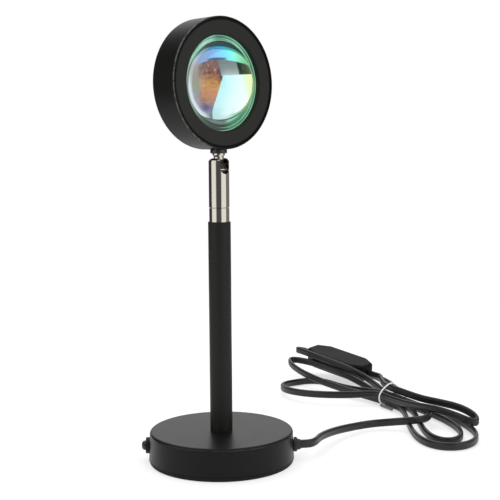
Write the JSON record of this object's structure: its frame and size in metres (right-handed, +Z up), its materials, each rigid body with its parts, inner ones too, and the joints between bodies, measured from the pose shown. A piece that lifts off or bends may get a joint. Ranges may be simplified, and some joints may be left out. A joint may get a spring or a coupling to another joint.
{
  "type": "sunset projection lamp",
  "caption": "Small lamp with a half-ball lens in a drum head on a slotted ball swivel, a round stem and a weighted base, with a bundled lead, an inline switch and a plug.",
  "frame": {"origin": "centre of the base's foot on the table", "axes": "+Z up along the stem; +X to the side of the base where the lead leaves; +Y to the back, where the bundled lead lies"},
  "size_m": [0.2232, 0.3157, 0.271],
  "materials": {
    "foam_black": "closed-cell foam",
    "paint_black": "satin black paint",
    "zinc_plate": "zinc-plated steel sheet",
    "cast_weight": "plain cast iron",
    "zinc_screw": "zinc-plated screws",
    "screw_steel": "blackened steel",
    "rubber_black": "matt rubber",
    "brass_insert": "turned brass",
    "zinc_steel": "zinc-plated steel",
    "spring_steel": "spring steel",
    "nickel": "polished nickel",
    "acetal": "white acetal",
    "lens_glass": "coated optical glass",
    "filter_film": "dichroic colour filter",
    "plastic_black": "fine matt texture",
    "plastic_white": "smooth",
    "bare_aluminium": "machined",
    "board_white": "white solder mask",
    "emitter_yellow": "phosphor under clear silicone",
    "lead_black": "soft flexible cord cover"
  },
  "bodies": {
    "base": {"foot_pad": "foam_black", "base_shell": "paint_black", "bottom_plate": "zinc_plate", "base_weight": "cast_weight", "plate_screws": "zinc_screw", "side_washer": "paint_black", "side_screw": "screw_steel", "lead_bush": "rubber_black", "stem_tube": "paint_black", "lower_insert": "brass_insert", "upper_insert": "brass_insert", "threaded_nipple": "zinc_steel", "stem_washer": "zinc_steel", "stem_nut": "zinc_steel", "swivel_collar": "nickel", "retaining_clip": "spring_steel", "lead_free": "lead_black", "lead_hank": "lead_black", "tail_hank": "lead_black", "inner_lead": "lead_black", "lead_clamp": "plastic_black", "clamp_screws": "zinc_screw", "switch_upper_case": "plastic_black", "switch_lower_case": "plastic_black", "switch_screws": "zinc_screw", "plug_grip": "plastic_black", "plug_shell": "nickel", "plug_tongue": "plastic_white", "plug_contacts": "brass_insert", "twist_tie": "plastic_white"},
    "pan": {"swivel_barrel": "nickel", "thrust_washer": "spring_steel", "swivel_spring": "spring_steel", "friction_cup": "acetal"},
    "tilt": {"ball_stud": "nickel"},
    "head": {"head_shell": "paint_black", "front_bezel": "paint_black", "lens_gasket": "rubber_black", "lens": "lens_glass", "filter_disc": "filter_film", "lens_holder": "plastic_black", "heat_sink": "bare_aluminium", "led_board": "board_white", "led_emitter": "emitter_yellow", "board_screws": "zinc_screw", "holder_screws": "zinc_screw", "collar_nut": "paint_black", "inner_nut": "zinc_steel"},
    "rocker": {"switch_rocker": "plastic_black"}
  },
  "joints": [
    {"name": "swivel_pan", "type": "hinge", "parent": "base", "child": "pan", "pos_m": [0, 0, 0.1719], "axis": [0, 0, 1], "range_deg": [-175, 175]},
    {"name": "head_tilt", "type": "hinge", "parent": "pan", "child": "tilt", "pos_m": [0, 0, 0.1807], "axis": [0.7314, 0.682, 0], "range_deg": [0, 90]},
    {"name": "head_turn", "type": "hinge", "parent": "tilt", "child": "head", "pos_m": [0, 0, 0.1807], "axis": [0, 0, 1], "range_deg": [-170, 170]},
    {"name": "switch_rocker", "type": "hinge", "parent": "base", "child": "rocker", "pos_m": [0.09205, 0.22004, 0.00956], "axis": [-0.7126, -0.6963, -0.0864], "range_deg": [0, 16]}
  ]
}
